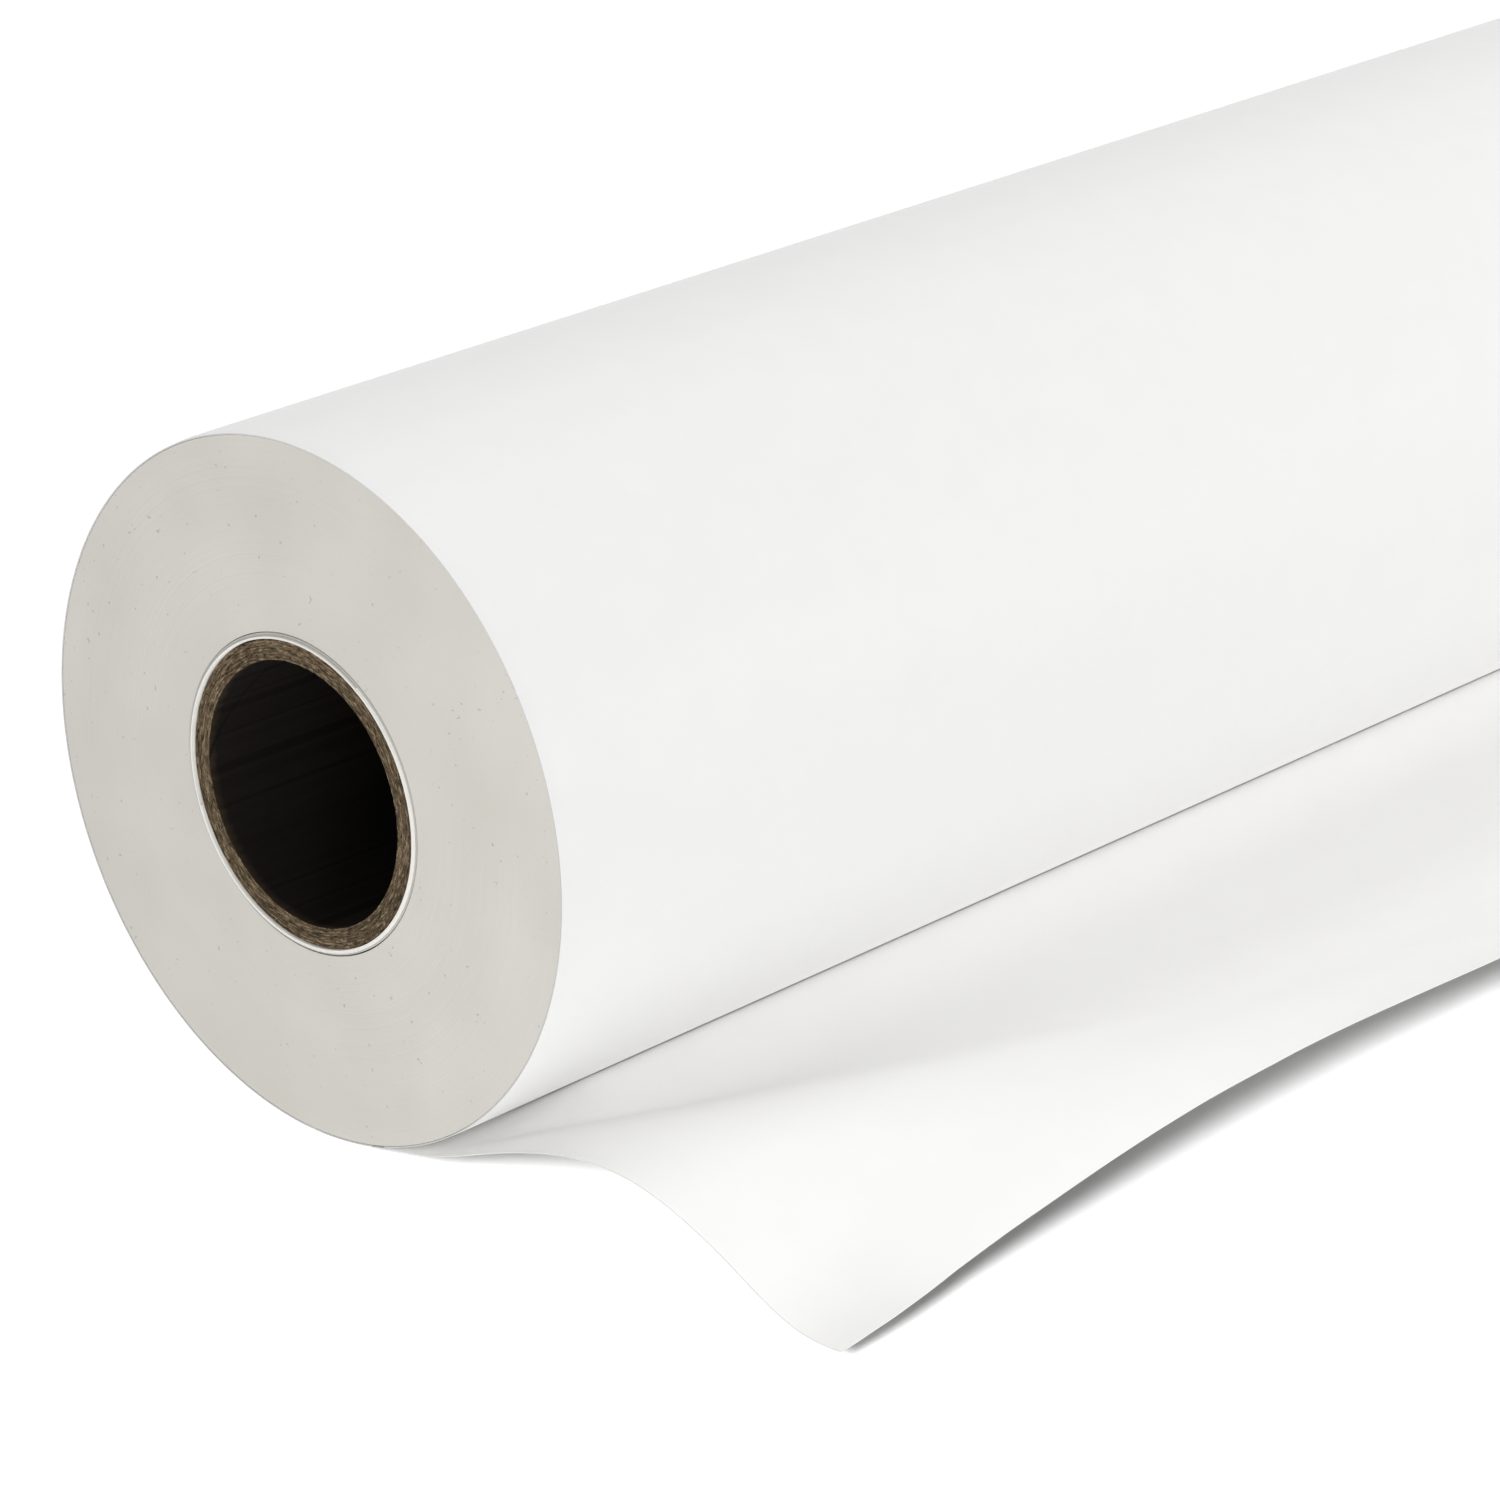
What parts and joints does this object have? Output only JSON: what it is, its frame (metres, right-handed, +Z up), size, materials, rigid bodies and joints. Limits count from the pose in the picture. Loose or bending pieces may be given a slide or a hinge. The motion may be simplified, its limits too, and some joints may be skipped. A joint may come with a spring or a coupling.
{
  "type": "backdrop paper roll",
  "caption": "Wide roll of white background paper wound on a spiral board core, lying with its loose end laid out in a low wave.",
  "frame": {"origin": "centre of the core's bore, half way along it", "axes": "+Y along the core away from the end seen in the picture, +X the way the loose end runs, +Z up with the roll lying on its side"},
  "size_m": [0.2006, 1.3506, 0.1349],
  "materials": {
    "paper_sheet": "smooth uncoated white paper with a faint satin sheen",
    "paper_edges": "cut edges of many paper turns, matt warm light grey",
    "core_board": "grey-brown fibrous paperboard",
    "core_liner": "dark brown-black liner paper, matt, with a spiral seam",
    "core_tape": "kraft paper tape"
  },
  "bodies": {
    "outermost_turn": {"outer_turn": "paper_sheet", "leader_root": "paper_sheet", "leader_arch": "paper_sheet"},
    "roll": {"core_inner_liner": "core_liner", "core_body_ply_1": "core_board", "core_body_ply_2": "core_board", "core_body_ply_3": "core_board", "core_body_ply_4": "core_board", "core_body_ply_5": "core_board", "core_outer_ply": "core_board", "core_tape": "core_tape", "starter_turns": "paper_sheet", "wound_pack": "paper_edges"},
    "leader": {"leader_bed": "paper_sheet"},
    "leader_front": {"leader_lip": "paper_sheet"}
  },
  "joints": [
    {"name": "roll_spin", "type": "hinge", "parent": "outermost_turn", "child": "roll", "pos_m": [0, 0, 0], "axis": [0, -1, 0], "range_deg": [0, 180]},
    {"name": "leader_pull", "type": "slide", "parent": "outermost_turn", "child": "leader", "axis": [1, 0, 0], "range_m": [0, 0.2125], "deforming": ["leader_arch"]},
    {"name": "leader_lift", "type": "hinge", "parent": "leader", "child": "leader_front", "pos_m": [0.09205, 0, -0.06473], "axis": [0, -1, 0], "range_deg": [0, 35]}
  ],
  "couplings": [
    {"joint": "leader_pull", "follows": "roll_spin", "m_per_rad": 0.067625}
  ]
}
